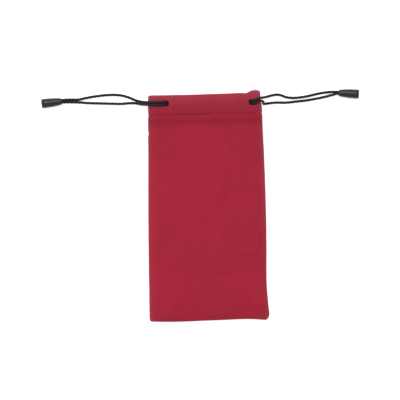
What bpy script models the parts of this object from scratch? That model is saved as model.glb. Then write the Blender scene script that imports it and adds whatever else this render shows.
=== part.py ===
"""A flat drawstring pouch of soft cloth, lying on its back with the mouth towards +Y.

The pouch is one sheet, folded down the left side, sewn along the right side and the base, with
the mouth turned in and stitched down to make a channel. Two drawcords run round the channel, leave
it through a slot at each side of the front, and end in a knot held in a bell-shaped cord end.
Metres, +Z up, origin at the middle of the pouch's underside.
"""

import math

import bmesh
import bpy
import numpy as np
from mathutils import Vector

# The pouch, over all
LENGTH = 0.180
WIDTH_AT_MOUTH = 0.0888
WIDTH_AT_BASE = 0.0946
SIDE_BOW = 0.0009
BASE_CORNER_RADIUS = 0.0022
CLOTH = 0.0006

# How far the pouch stands open, measured over both walls
HEM_THICKNESS = 0.0124
BELLY_THICKNESS = 0.0112
BASE_THICKNESS = 0.0018
SIDE_FOLD_RADIUS = 0.0019
CROWN_POWER = 1.4
SHOULDER_LENGTH = 0.042
BASE_TAPER_LENGTH = 0.062

# The hem turned in round the mouth
HEM_DEPTH = 0.0163
FLAP_BELOW_STITCHES = 0.0055
STITCH_DIP = 0.0004
STITCHED_GAP = 0.0003
CHANNEL_TAPER = 0.0022
FOLD_SQUARENESS = 0.65

# The cords and the slots that they come out of
CORD_DIAMETER = 0.0018
CORD_CLEARANCE = 0.00035
SLOT_LENGTH = 0.0068
SLOT_WIDTH = 0.0049
SLOT_CORNER_RADIUS = 0.0012
LEFT_SLOT = (-0.0312, 0.0817)
RIGHT_SLOT = (0.0380, 0.0812)

# The bell-shaped cord ends
BELL_LENGTH = 0.0160
BELL_NECK_RADIUS = 0.0025
BELL_SHOULDER_RADIUS = 0.0031
BELL_BODY_RADIUS = 0.00345
BELL_MOUTH_RADIUS = 0.0037
BELL_SHOULDER_FROM_NECK = 0.0035
BELL_BODY_FROM_NECK = 0.0080
BELL_WALL = 0.0006
BELL_EDGE = 0.0003
BORE_CLEARANCE = 0.0002
BORE_LENGTH = 0.0030
STRAND_SPACING = 0.0020
LEFT_NECK = (-0.1130, 0.0857, 0.0032)
LEFT_BELL_HEADING = math.radians(185.5)
RIGHT_NECK = (0.1069, 0.08725, 0.0032)
RIGHT_BELL_HEADING = math.radians(-5.0)
BELL_RISE = math.radians(1.9)

# The knot that holds each cord end
KNOT_FROM_NECK = 0.0082
KNOT_RADIUS = 0.00235
KNOT_HALF_LENGTH = 0.0029

# How finely the shapes are divided
SIDE_STEPS = 6
FRONT_POINTS = 11
FOLD_STEPS = 6
TURNED_STEPS = 24
CORD_FINE_STEP = 0.0003
CORD_LONGEST_STEP = 0.0061
CORD_SHORTEST_STEP = 0.0021
CORD_TURN_PER_STEP = math.radians(22)

# The left cord: knot, upper strand, slot, once round the channel, slot, lower strand, knot
LEFT_UPPER_STRAND = [
    (-0.12025, 0.08592, 0.00386), (-0.11706, 0.08623, 0.00375), (-0.11158, 0.08675, 0.00357),
    (-0.10800, 0.08695, 0.00225), (-0.10400, 0.08695, 0.00110), (-0.09950, 0.08690, 0.00095),
    (-0.09460, 0.08790, 0.00095), (-0.08510, 0.08930, 0.00095), (-0.07550, 0.09005, 0.00095),
    (-0.06840, 0.08980, 0.00095), (-0.06360, 0.08890, 0.00095), (-0.05880, 0.08725, 0.00095),
    (-0.05430, 0.08520, 0.00120), (-0.05080, 0.08415, 0.00290), (-0.04800, 0.08350, 0.00670),
    (-0.04420, 0.08305, 0.01130), (-0.04150, 0.08290, 0.01310), (-0.03870, 0.08280, 0.01370),
    (-0.03480, 0.08275, 0.01360),
]
LEFT_ROUND_THE_CHANNEL = [
    (-0.03120, 0.08270, 0.01210), (-0.02780, 0.08260, 0.01060), (-0.02490, 0.08235, 0.01055),
    (-0.02190, 0.08225, 0.01055), (-0.02031, 0.08291, 0.01055), (-0.01965, 0.08450, 0.01055),
    (-0.02031, 0.08609, 0.01055), (-0.02190, 0.08675, 0.01055), (-0.02600, 0.08680, 0.01055),
    (-0.03300, 0.08680, 0.01055), (-0.03830, 0.08675, 0.01055), (-0.04138, 0.08665, 0.00928),
    (-0.04265, 0.08650, 0.00620), (-0.04138, 0.08630, 0.00312), (-0.03830, 0.08610, 0.00185),
    (-0.03100, 0.08555, 0.00185), (0.00000, 0.08420, 0.00185), (0.03100, 0.08500, 0.00185),
    (0.03830, 0.08545, 0.00185), (0.04138, 0.08575, 0.00312), (0.04265, 0.08600, 0.00620),
    (0.04138, 0.08625, 0.00928), (0.03830, 0.08645, 0.01055), (0.03100, 0.08670, 0.01055),
    (0.02000, 0.08670, 0.01055), (0.01000, 0.08560, 0.01055), (0.00000, 0.08380, 0.01055),
    (-0.01000, 0.08185, 0.01055), (-0.01900, 0.08025, 0.01055), (-0.02490, 0.08030, 0.01055),
    (-0.02780, 0.08055, 0.01060), (-0.03120, 0.08070, 0.01210),
]
LEFT_LOWER_STRAND = [
    (-0.03480, 0.08075, 0.01360), (-0.03870, 0.08080, 0.01370), (-0.04150, 0.08088, 0.01310),
    (-0.04420, 0.08105, 0.01130), (-0.04800, 0.08150, 0.00670), (-0.05100, 0.08215, 0.00290),
    (-0.05430, 0.08290, 0.00115), (-0.05900, 0.08310, 0.00095), (-0.06560, 0.08275, 0.00095),
    (-0.07330, 0.08305, 0.00095), (-0.08280, 0.08350, 0.00095), (-0.09230, 0.08400, 0.00095),
    (-0.09950, 0.08470, 0.00095), (-0.10400, 0.08490, 0.00095), (-0.10800, 0.08500, 0.00160),
    (-0.11142, 0.08493, 0.00273), (-0.11690, 0.08441, 0.00291), (-0.12009, 0.08410, 0.00302),
]

# The right cord: knot, upper strand, slot, once round the channel, slot, lower strand, knot
RIGHT_UPPER_STRAND = [
    (0.11413, 0.08726, 0.00421), (0.11094, 0.08754, 0.00410), (0.10546, 0.08802, 0.00392),
    (0.10180, 0.08820, 0.00265), (0.09800, 0.08810, 0.00125), (0.09380, 0.08765, 0.00095),
    (0.08900, 0.08680, 0.00095), (0.08180, 0.08530, 0.00095), (0.07470, 0.08440, 0.00095),
    (0.06990, 0.08430, 0.00095), (0.06510, 0.08500, 0.00095), (0.06160, 0.08640, 0.00095),
    (0.05800, 0.08715, 0.00095), (0.05330, 0.08650, 0.00115), (0.05000, 0.08560, 0.00270),
    (0.04740, 0.08500, 0.00580), (0.04575, 0.08460, 0.00915), (0.04350, 0.08400, 0.01175),
    (0.04170, 0.08330, 0.01300),
]
RIGHT_ROUND_THE_CHANNEL = [
    (0.03990, 0.08255, 0.01285), (0.03820, 0.08220, 0.01190), (0.03640, 0.08210, 0.01095),
    (0.03440, 0.08210, 0.01060), (0.03080, 0.08265, 0.01055), (0.02400, 0.08445, 0.01055),
    (0.01700, 0.08440, 0.01055), (0.01000, 0.08320, 0.01055), (0.00000, 0.08140, 0.01055),
    (-0.01000, 0.07950, 0.01055), (-0.02000, 0.07795, 0.01055), (-0.02700, 0.07765, 0.01055),
    (-0.03300, 0.07765, 0.01055), (-0.03840, 0.07785, 0.01055), (-0.04150, 0.07800, 0.00928),
    (-0.04277, 0.07815, 0.00620), (-0.04150, 0.07830, 0.00312), (-0.03840, 0.07840, 0.00185),
    (-0.03100, 0.07850, 0.00185), (0.00000, 0.07920, 0.00185), (0.03100, 0.07860, 0.00185),
    (0.03840, 0.07825, 0.00185), (0.04150, 0.07795, 0.00312), (0.04277, 0.07770, 0.00620),
    (0.04150, 0.07745, 0.00928), (0.03840, 0.07725, 0.01055), (0.03200, 0.07700, 0.01055),
    (0.02600, 0.07690, 0.01055), (0.02050, 0.07690, 0.01055), (0.01850, 0.07772, 0.01055),
    (0.01770, 0.07970, 0.01055), (0.01850, 0.08168, 0.01055), (0.02050, 0.08250, 0.01055),
    (0.02400, 0.08225, 0.01055), (0.03080, 0.08055, 0.01055), (0.03440, 0.08005, 0.01060),
    (0.03640, 0.08005, 0.01095), (0.03820, 0.08015, 0.01190), (0.03990, 0.08050, 0.01285),
]
RIGHT_LOWER_STRAND = [
    (0.04170, 0.08110, 0.01300), (0.04340, 0.08165, 0.01185), (0.04550, 0.08205, 0.00960),
    (0.04660, 0.08160, 0.00690), (0.04670, 0.08050, 0.00410), (0.04770, 0.08005, 0.00190),
    (0.05060, 0.08035, 0.00095), (0.05650, 0.08085, 0.00095), (0.06500, 0.08065, 0.00095),
    (0.07350, 0.08130, 0.00095), (0.08180, 0.08210, 0.00095), (0.08890, 0.08320, 0.00095),
    (0.09610, 0.08450, 0.00095), (0.10170, 0.08580, 0.00130), (0.10534, 0.08674, 0.00238),
    (0.11082, 0.08626, 0.00256), (0.11401, 0.08598, 0.00267),
]

CLOTH_COLOUR = (0.371, 0.022, 0.045, 1.0)
CORD_COLOUR = (0.018, 0.014, 0.015, 1.0)
BELL_COLOUR = (0.050, 0.056, 0.056, 1.0)

# Worked out from the sizes above
BASE_Y = -LENGTH / 2
MOUTH_Y = LENGTH / 2
STITCH_Y = MOUTH_Y - HEM_DEPTH
CHANNEL_GAP = CORD_DIAMETER + 2 * CORD_CLEARANCE + CLOTH
STRANDS_HALF_WIDTH = (STRAND_SPACING + CORD_DIAMETER) / 2
BORE_RADIUS = STRANDS_HALF_WIDTH + BORE_CLEARANCE


def clear_scene():
    for item in list(bpy.data.objects):
        bpy.data.objects.remove(item, do_unlink=True)


def new_collection(name):
    collection = bpy.data.collections.new(name)
    bpy.context.scene.collection.children.link(collection)
    return collection


def new_material(name, colour, roughness):
    material = bpy.data.materials.new(name)
    material.use_nodes = True
    shader = material.node_tree.nodes["Principled BSDF"]
    shader.inputs["Base Color"].default_value = colour
    shader.inputs["Roughness"].default_value = roughness
    shader.inputs["Metallic"].default_value = 0.0
    material.diffuse_color = colour
    return material


def new_object(name, mesh, collection, material=None):
    made = bpy.data.objects.new(name, mesh)
    collection.objects.link(made)
    if material is not None:
        mesh.materials.append(material)
    return made


def mesh_from(shape, name):
    mesh = bpy.data.meshes.new(name)
    shape.to_mesh(mesh)
    shape.free()
    return mesh


def make_cutter(cutter):
    cutter.hide_render = True
    cutter.display_type = "WIRE"


def ease(share):
    share = min(max(share, 0.0), 1.0)
    return share * share * (3 - 2 * share)


def half_width_at(y):
    """Half the pouch's outer width: wider to the base, bowed a little, with rounded base corners."""
    from_base = y - BASE_Y
    half_width = (WIDTH_AT_BASE + (WIDTH_AT_MOUTH - WIDTH_AT_BASE) * from_base / LENGTH) / 2
    below_hem = min(from_base / (LENGTH - HEM_DEPTH), 1.0)
    half_width += SIDE_BOW * math.sin(math.pi * below_hem)
    if from_base < BASE_CORNER_RADIUS:
        short = BASE_CORNER_RADIUS - from_base
        half_width -= BASE_CORNER_RADIUS - math.sqrt(BASE_CORNER_RADIUS ** 2 - short ** 2)
    return half_width


def thickness_at(y):
    """The thickness over both walls at the middle of the width."""
    up_from_base = min((y - BASE_Y) / BASE_TAPER_LENGTH, 1.0)
    full = BELLY_THICKNESS + (HEM_THICKNESS - BELLY_THICKNESS) * hem_share_at(y)
    return BASE_THICKNESS + (full - BASE_THICKNESS) * math.sin(up_from_base * math.pi / 2)


def hem_share_at(y):
    """1 along the hem, whose sides stay round, easing to 0 where the sides lie folded flat."""
    flap_y = STITCH_Y - FLAP_BELOW_STITCHES
    return ease((y - flap_y + SHOULDER_LENGTH) / SHOULDER_LENGTH)


def side_radius_at(y):
    """The radius of the side folds, to the middle of the cloth."""
    half_height = (thickness_at(y) - CLOTH) / 2
    folded = min(SIDE_FOLD_RADIUS, half_height)
    return folded + (half_height - folded) * hem_share_at(y)


def ring(y, inset):
    """One closed line round the pouch in the middle of the cloth, drawn in from the outside."""
    radius = side_radius_at(y) - inset
    height = thickness_at(y) - CLOTH - 2 * inset
    reach = half_width_at(y) - CLOTH / 2 - inset - radius
    floor = CLOTH / 2 + inset
    arc = [math.pi * step / SIDE_STEPS - math.pi / 2 for step in range(SIDE_STEPS + 1)]
    across = [1 - 2 * (step + 1) / (FRONT_POINTS + 1) for step in range(FRONT_POINTS)]
    points = [(reach + radius * math.cos(a), y, floor + radius + radius * math.sin(a)) for a in arc]
    for share in across:
        crown = math.cos(share * math.pi / 2) ** CROWN_POWER
        points.append((share * reach, y, floor + 2 * radius + (height - 2 * radius) * crown))
    for a in reversed(arc):
        points.append((-reach - radius * math.cos(a), y, floor + radius + radius * math.sin(a)))
    points += [(-share * reach, y, floor) for share in across]
    return points


def fold_point(turn):
    """A point on the mouth's fold, seen from the side: a half round with squared shoulders."""
    out = math.copysign(abs(math.cos(turn)) ** FOLD_SQUARENESS, math.cos(turn))
    return out, abs(math.sin(turn)) ** FOLD_SQUARENESS


def pouch_rings():
    """The rings from the base seam up the outside, over the mouth's fold and down the flap."""
    from_base = [CLOTH / 2, 0.0008, 0.0014, 0.0030, 0.0070, 0.0140, 0.0240, 0.0360, 0.0500]
    rings = [ring(BASE_Y + height, 0.0) for height in from_base]
    flap_y = STITCH_Y - FLAP_BELOW_STITCHES
    belly_y = BASE_Y + BASE_TAPER_LENGTH
    shoulder_y = flap_y - SHOULDER_LENGTH
    rings += [ring(y, 0.0) for y in np.linspace(belly_y, shoulder_y, 4)]
    rings += [ring(y, 0.0) for y in np.linspace(shoulder_y, flap_y, 6)[1:]]
    inner = CLOTH + STITCHED_GAP
    channel_y = STITCH_Y + CHANNEL_TAPER
    fold_y = MOUTH_Y - CLOTH / 2 - CHANNEL_GAP / 2
    middle_y = (channel_y + fold_y) / 2
    rings.append(ring(STITCH_Y, STITCH_DIP))
    rings.append(ring(channel_y, 0.0))
    rings.append(ring(middle_y, 0.0))
    for step in range(FOLD_STEPS + 1):
        out, up = fold_point(math.pi * step / FOLD_STEPS)
        rings.append(ring(fold_y + up * CHANNEL_GAP / 2, (1 - out) * CHANNEL_GAP / 2))
    rings.append(ring(middle_y, CHANNEL_GAP))
    rings.append(ring(channel_y, CHANNEL_GAP))
    rings.append(ring(STITCH_Y, STITCH_DIP + inner))
    rings.append(ring(flap_y, inner))
    return rings


def pouch_mesh():
    """The middle of the cloth as one open sheet: the rings, and the seam that closes the base."""
    shape = bmesh.new()
    rows = [[shape.verts.new(point) for point in points] for points in pouch_rings()]
    count = len(rows[0])
    for lower, upper in zip(rows, rows[1:]):
        for i in range(count):
            j = (i + 1) % count
            shape.faces.new((lower[i], lower[j], upper[j], upper[i]))
    base = rows[0]
    side = SIDE_STEPS // 2
    for i in range(side, side + count // 2):
        corners = (base[i], base[(SIDE_STEPS - i) % count], base[(SIDE_STEPS - i - 1) % count], base[i + 1])
        shape.faces.new(list(dict.fromkeys(corners)))
    bmesh.ops.recalc_face_normals(shape, faces=shape.faces)
    return mesh_from(shape, "pouch_body")


def slot_cutter(name, place, collection):
    """An upright rounded block through the front wall of the hem, clear of the wall behind it."""
    wall_z = HEM_THICKNESS - CLOTH / 2
    shape = bmesh.new()
    bmesh.ops.create_cube(shape, size=1.0)
    bmesh.ops.scale(shape, vec=(SLOT_LENGTH, SLOT_WIDTH, CHANNEL_GAP), verts=shape.verts)
    upright = [edge for edge in shape.edges if abs(edge.verts[0].co.z - edge.verts[1].co.z) > CLOTH]
    bmesh.ops.bevel(shape, geom=upright, offset=SLOT_CORNER_RADIUS, segments=3, profile=0.5,
                    affect="EDGES")
    bmesh.ops.recalc_face_normals(shape, faces=shape.faces)
    cutter = new_object(name, mesh_from(shape, name), collection)
    cutter.location = (place[0], place[1], wall_z)
    make_cutter(cutter)
    return cutter


def build_pouch(parts, cutters, cloth):
    pouch = new_object("pouch_body", pouch_mesh(), parts, cloth)
    wall = pouch.modifiers.new("cloth", "SOLIDIFY")
    wall.thickness = CLOTH
    wall.offset = 0.0
    wall.use_even_offset = True
    for name, place in (("left_slot", LEFT_SLOT), ("right_slot", RIGHT_SLOT)):
        cut = pouch.modifiers.new(name, "BOOLEAN")
        cut.operation = "DIFFERENCE"
        cut.object = slot_cutter(name, place, cutters)
    return pouch


def smooth_curve(points):
    """Many close points on one smooth curve through the route's points (centripetal spline)."""
    route = [np.array(point) for point in points]
    route = [2 * route[0] - route[1]] + route + [2 * route[-1] - route[-2]]
    curve = []
    for a, b, c, d in zip(route, route[1:], route[2:], route[3:]):
        t1 = np.linalg.norm(b - a) ** 0.5
        t2 = t1 + np.linalg.norm(c - b) ** 0.5
        t3 = t2 + np.linalg.norm(d - c) ** 0.5
        steps = max(2, int(np.linalg.norm(c - b) / CORD_FINE_STEP))
        for t in np.linspace(t1, t2, steps, endpoint=False):
            ab = a + (b - a) * t / t1
            bc = b + (c - b) * (t - t1) / (t2 - t1)
            cd = c + (d - c) * (t - t2) / (t3 - t2)
            abc = ab + (bc - ab) * t / t2
            bcd = bc + (cd - bc) * (t - t1) / (t3 - t1)
            curve.append(abc + (bcd - abc) * (t - t1) / (t2 - t1))
    curve.append(route[-2])
    return curve


def spaced_points(curve):
    """Points for the tube, two or three diameters apart and closer together where it turns."""
    kept = [curve[0]]
    heading = curve[1] - curve[0]
    for here, after in zip(curve[1:-1], curve[2:]):
        going = after - here
        far = np.linalg.norm(here - kept[-1])
        turned = Vector(heading).angle(Vector(going))
        if far >= CORD_LONGEST_STEP or (far >= CORD_SHORTEST_STEP and turned >= CORD_TURN_PER_STEP):
            kept.append(here)
            heading = going
    if np.linalg.norm(curve[-1] - kept[-1]) < CORD_SHORTEST_STEP:
        kept.pop()
    kept.append(curve[-1])
    return kept


def tube_mesh(name, points, diameter, collection):
    """A round tube with closed ends along the points, as a mesh."""
    line = bpy.data.curves.new(name, "CURVE")
    line.dimensions = "3D"
    line.bevel_depth = diameter / 2
    line.bevel_resolution = 2
    line.use_fill_caps = True
    spline = line.splines.new("POLY")
    spline.points.add(len(points) - 1)
    for place, point in zip(spline.points, points):
        place.co = (*point, 1.0)
    guide = bpy.data.objects.new(name + "_line", line)
    collection.objects.link(guide)
    evaluated = guide.evaluated_get(bpy.context.evaluated_depsgraph_get())
    mesh = bpy.data.meshes.new_from_object(evaluated)
    bpy.data.objects.remove(guide, do_unlink=True)
    shape = bmesh.new()
    shape.from_mesh(mesh)
    bmesh.ops.remove_doubles(shape, verts=shape.verts, dist=0.00001)
    shape.to_mesh(mesh)
    shape.free()
    mesh.name = name
    return mesh


def bell_direction(heading):
    """The way from a cord end's neck to its wide mouth, as it lies on the surface."""
    flat = math.cos(BELL_RISE)
    return Vector((flat * math.cos(heading), flat * math.sin(heading), math.sin(BELL_RISE)))


def knot_lump(name, neck, heading, collection):
    """The outer shape of the knot in which both ends of a cord are tied together."""
    direction = bell_direction(heading)
    shape = bmesh.new()
    bmesh.ops.create_uvsphere(shape, u_segments=14, v_segments=8, radius=KNOT_RADIUS)
    bmesh.ops.scale(shape, vec=(1, 1, KNOT_HALF_LENGTH / KNOT_RADIUS), verts=shape.verts)
    lump = new_object(name, mesh_from(shape, name), collection)
    lump.rotation_mode = "QUATERNION"
    lump.rotation_quaternion = direction.to_track_quat("Z", "Y")
    lump.location = Vector(neck) + direction * KNOT_FROM_NECK
    make_cutter(lump)
    return lump


def build_cord(name, route, neck, heading, parts, cutters, braid):
    points = spaced_points(smooth_curve(route))
    cord = new_object(name, tube_mesh(name, points, CORD_DIAMETER, cutters), parts, braid)
    tied = cord.modifiers.new("knot", "BOOLEAN")
    tied.operation = "UNION"
    tied.object = knot_lump(name + "_knot", neck, heading, cutters)
    return cord


def bell_profile():
    """Radius and height down the outside from the neck to the mouth, and back up the inside."""
    outside = [
        (BELL_NECK_RADIUS - BELL_EDGE, 0.0),
        (BELL_NECK_RADIUS, -BELL_EDGE),
        ((BELL_NECK_RADIUS + BELL_SHOULDER_RADIUS) / 2, -0.4 * BELL_SHOULDER_FROM_NECK),
        (BELL_SHOULDER_RADIUS, -BELL_SHOULDER_FROM_NECK),
        (BELL_BODY_RADIUS, -BELL_BODY_FROM_NECK),
        (BELL_MOUTH_RADIUS, -BELL_LENGTH + BELL_EDGE),
        (BELL_MOUTH_RADIUS - BELL_EDGE, -BELL_LENGTH),
    ]
    inside = [
        (BELL_MOUTH_RADIUS - BELL_WALL, -BELL_LENGTH + BELL_EDGE),
        (BELL_BODY_RADIUS - BELL_WALL, -BELL_BODY_FROM_NECK),
        (BORE_RADIUS + BELL_EDGE, -BORE_LENGTH - BELL_EDGE),
        (BORE_RADIUS, -BORE_LENGTH),
        (BORE_RADIUS, -BELL_EDGE),
    ]
    return outside + inside


def build_bell(name, neck, heading, parts, plastic):
    """A turned hollow bell, open at its wide mouth, with a bore in its neck for both strands."""
    shape = bmesh.new()
    corners = [shape.verts.new((radius, 0.0, height)) for radius, height in bell_profile()]
    for here, after in zip(corners, corners[1:] + corners[:1]):
        shape.edges.new((here, after))
    bell = new_object(name, mesh_from(shape, name), parts, plastic)
    turned = bell.modifiers.new("turned", "SCREW")
    turned.steps = TURNED_STEPS
    turned.render_steps = TURNED_STEPS
    turned.use_merge_vertices = True
    turned.merge_threshold = 0.00001
    bell.rotation_mode = "QUATERNION"
    bell.rotation_quaternion = (-bell_direction(heading)).to_track_quat("Z", "Y")
    bell.location = neck
    return bell


def main():
    clear_scene()
    parts = new_collection("drawstring_pouch")
    cutters = new_collection("cutters")
    cloth = new_material("pouch_cloth", CLOTH_COLOUR, 0.85)
    braid = new_material("cord_braid", CORD_COLOUR, 0.75)
    plastic = new_material("bell_plastic", BELL_COLOUR, 0.35)
    build_pouch(parts, cutters, cloth)
    left_route = LEFT_UPPER_STRAND + LEFT_ROUND_THE_CHANNEL + LEFT_LOWER_STRAND
    right_route = RIGHT_UPPER_STRAND + RIGHT_ROUND_THE_CHANNEL + RIGHT_LOWER_STRAND
    build_cord("left_drawcord", left_route, LEFT_NECK, LEFT_BELL_HEADING, parts, cutters, braid)
    build_cord("right_drawcord", right_route, RIGHT_NECK, RIGHT_BELL_HEADING, parts, cutters, braid)
    build_bell("left_cord_end", LEFT_NECK, LEFT_BELL_HEADING, parts, plastic)
    build_bell("right_cord_end", RIGHT_NECK, RIGHT_BELL_HEADING, parts, plastic)


main()
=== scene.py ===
"""The looks of a flat drawstring pouch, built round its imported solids. Metres, +Z up.

One brushed cloth pouch lies on its back on a white table. Its mouth is turned in and stitched down
as a channel, two black laid cords run round the channel and leave it at either side, and each
ends in a knot inside a bell-shaped plastic cord end.
"""

import math
import random

import bmesh
import bpy
import numpy as np
from bpy.props import FloatProperty, FloatVectorProperty, IntProperty, PointerProperty
from bpy.types import Operator, Panel, PropertyGroup
from mathutils import Matrix, Vector, noise


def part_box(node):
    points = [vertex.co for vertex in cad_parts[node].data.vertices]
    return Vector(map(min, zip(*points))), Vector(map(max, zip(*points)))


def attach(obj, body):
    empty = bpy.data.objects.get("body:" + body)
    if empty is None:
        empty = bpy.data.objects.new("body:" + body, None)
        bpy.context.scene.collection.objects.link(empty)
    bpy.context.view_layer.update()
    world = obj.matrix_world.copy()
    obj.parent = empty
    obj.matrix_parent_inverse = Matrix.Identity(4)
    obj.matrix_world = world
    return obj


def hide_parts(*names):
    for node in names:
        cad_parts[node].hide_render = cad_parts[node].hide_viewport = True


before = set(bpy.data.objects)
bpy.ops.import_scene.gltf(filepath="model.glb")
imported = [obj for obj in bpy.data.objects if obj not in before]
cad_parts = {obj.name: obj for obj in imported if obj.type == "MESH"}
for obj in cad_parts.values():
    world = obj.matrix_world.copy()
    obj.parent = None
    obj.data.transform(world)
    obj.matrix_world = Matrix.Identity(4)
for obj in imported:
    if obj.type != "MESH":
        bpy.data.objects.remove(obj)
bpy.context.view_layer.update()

bl_info = {
    "name": "Drawstring Pouch",
    "version": (1, 0, 0),
    "blender": (4, 5, 0),
    "location": "View3D > Sidebar > Pouch",
    "description": "Cloth, stitches, cords and cord ends of a flat drawstring pouch",
    "category": "Object",
}

MM = 0.001
POUCH_LOW, POUCH_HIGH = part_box("pouch_body")
BODY = "root"

# The photograph's frame: its size, the pixel at the pouch's middle, its scale and its turn
PHOTO_PIXELS = 400
MIDDLE_PIXEL = (206.6, 206.0)
METRES_PER_PIXEL = 0.000795
PHOTO_TURN = math.radians(1.35)

# The left cord: knot, upper strand, slot, once round the channel, slot, lower strand, knot
LEFT_UPPER_STRAND = [
    (-0.12025, 0.08592, 0.00386), (-0.11706, 0.08623, 0.00375), (-0.11158, 0.08675, 0.00357),
    (-0.108, 0.08695, 0.00225), (-0.104, 0.08695, 0.0011), (-0.0995, 0.0869, 0.00095),
    (-0.0946, 0.0879, 0.00095), (-0.0851, 0.0893, 0.00095), (-0.0755, 0.09005, 0.00095),
    (-0.0684, 0.0898, 0.00095), (-0.0636, 0.0889, 0.00095), (-0.0588, 0.08725, 0.00095),
    (-0.0543, 0.0852, 0.0012), (-0.0508, 0.08415, 0.0029), (-0.048, 0.0835, 0.0067),
    (-0.0442, 0.08305, 0.0113), (-0.0415, 0.0829, 0.0131), (-0.0387, 0.0828, 0.0137),
    (-0.0348, 0.08275, 0.0136),
]
LEFT_ROUND_THE_CHANNEL = [
    (-0.0312, 0.0827, 0.0121), (-0.0278, 0.0826, 0.0106), (-0.0249, 0.08235, 0.01055),
    (-0.0219, 0.08225, 0.01055), (-0.02031, 0.08291, 0.01055), (-0.01965, 0.0845, 0.01055),
    (-0.02031, 0.08609, 0.01055), (-0.0219, 0.08675, 0.01055), (-0.026, 0.0868, 0.01055),
    (-0.033, 0.0868, 0.01055), (-0.0383, 0.08675, 0.01055), (-0.04138, 0.08665, 0.00928),
    (-0.04265, 0.0865, 0.0062), (-0.04138, 0.0863, 0.00312), (-0.0383, 0.0861, 0.00185),
    (-0.031, 0.08555, 0.00185), (0.0, 0.0842, 0.00185), (0.031, 0.085, 0.00185),
    (0.0383, 0.08545, 0.00185), (0.04138, 0.08575, 0.00312), (0.04265, 0.086, 0.0062),
    (0.04138, 0.08625, 0.00928), (0.0383, 0.08645, 0.01055), (0.031, 0.0867, 0.01055),
    (0.02, 0.0867, 0.01055), (0.01, 0.0856, 0.01055), (0.0, 0.0838, 0.01055),
    (-0.01, 0.08185, 0.01055), (-0.019, 0.08025, 0.01055), (-0.0249, 0.0803, 0.01055),
    (-0.0278, 0.08055, 0.0106), (-0.0312, 0.0807, 0.0121),
]
LEFT_LOWER_STRAND = [
    (-0.0348, 0.08075, 0.0136), (-0.0387, 0.0808, 0.0137), (-0.0415, 0.08088, 0.0131),
    (-0.0442, 0.08105, 0.0113), (-0.048, 0.0815, 0.0067), (-0.051, 0.08215, 0.0029),
    (-0.0543, 0.0829, 0.00115), (-0.059, 0.0831, 0.00095), (-0.0656, 0.08275, 0.00095),
    (-0.0733, 0.08305, 0.00095), (-0.0828, 0.0835, 0.00095), (-0.0923, 0.084, 0.00095),
    (-0.0995, 0.0847, 0.00095), (-0.104, 0.0849, 0.00095), (-0.108, 0.085, 0.0016),
    (-0.11142, 0.08493, 0.00273), (-0.1169, 0.08441, 0.00291), (-0.12009, 0.0841, 0.00302),
]

# The right cord: knot, upper strand, slot, once round the channel, slot, lower strand, knot
RIGHT_UPPER_STRAND = [
    (0.11413, 0.08726, 0.00421), (0.11094, 0.08754, 0.0041), (0.10546, 0.08802, 0.00392),
    (0.1018, 0.0882, 0.00265), (0.098, 0.0881, 0.00125), (0.0938, 0.08765, 0.00095),
    (0.089, 0.0868, 0.00095), (0.0818, 0.0853, 0.00095), (0.0747, 0.0844, 0.00095),
    (0.0699, 0.0843, 0.00095), (0.0651, 0.085, 0.00095), (0.0616, 0.0864, 0.00095),
    (0.058, 0.08715, 0.00095), (0.0533, 0.0865, 0.00115), (0.05, 0.0856, 0.0027),
    (0.0474, 0.085, 0.0058), (0.04575, 0.0846, 0.00915), (0.0435, 0.084, 0.01175),
    (0.0417, 0.0833, 0.013),
]
RIGHT_ROUND_THE_CHANNEL = [
    (0.0399, 0.08255, 0.01285), (0.0382, 0.0822, 0.0119), (0.0364, 0.0821, 0.01095),
    (0.0344, 0.0821, 0.0106), (0.0308, 0.08265, 0.01055), (0.024, 0.08445, 0.01055),
    (0.017, 0.0844, 0.01055), (0.01, 0.0832, 0.01055), (0.0, 0.0814, 0.01055),
    (-0.01, 0.0795, 0.01055), (-0.02, 0.07795, 0.01055), (-0.027, 0.07765, 0.01055),
    (-0.033, 0.07765, 0.01055), (-0.0384, 0.07785, 0.01055), (-0.0415, 0.078, 0.00928),
    (-0.04277, 0.07815, 0.0062), (-0.0415, 0.0783, 0.00312), (-0.0384, 0.0784, 0.00185),
    (-0.031, 0.0785, 0.00185), (0.0, 0.0792, 0.00185), (0.031, 0.0786, 0.00185),
    (0.0384, 0.07825, 0.00185), (0.0415, 0.07795, 0.00312), (0.04277, 0.0777, 0.0062),
    (0.0415, 0.07745, 0.00928), (0.0384, 0.07725, 0.01055), (0.032, 0.077, 0.01055),
    (0.026, 0.0769, 0.01055), (0.0205, 0.0769, 0.01055), (0.0185, 0.07772, 0.01055),
    (0.0177, 0.0797, 0.01055), (0.0185, 0.08168, 0.01055), (0.0205, 0.0825, 0.01055),
    (0.024, 0.08225, 0.01055), (0.0308, 0.08055, 0.01055), (0.0344, 0.08005, 0.0106),
    (0.0364, 0.08005, 0.01095), (0.0382, 0.08015, 0.0119), (0.0399, 0.0805, 0.01285),
]
RIGHT_LOWER_STRAND = [
    (0.0417, 0.0811, 0.013), (0.0434, 0.08165, 0.01185), (0.0455, 0.08205, 0.0096),
    (0.0466, 0.0816, 0.0069), (0.0467, 0.0805, 0.0041), (0.0477, 0.08005, 0.0019),
    (0.0506, 0.08035, 0.00095), (0.0565, 0.08085, 0.00095), (0.065, 0.08065, 0.00095),
    (0.0735, 0.0813, 0.00095), (0.0818, 0.0821, 0.00095), (0.0889, 0.0832, 0.00095),
    (0.0961, 0.0845, 0.00095), (0.1017, 0.0858, 0.0013), (0.10534, 0.08674, 0.00238),
    (0.11082, 0.08626, 0.00256), (0.11401, 0.08598, 0.00267),
]

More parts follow.
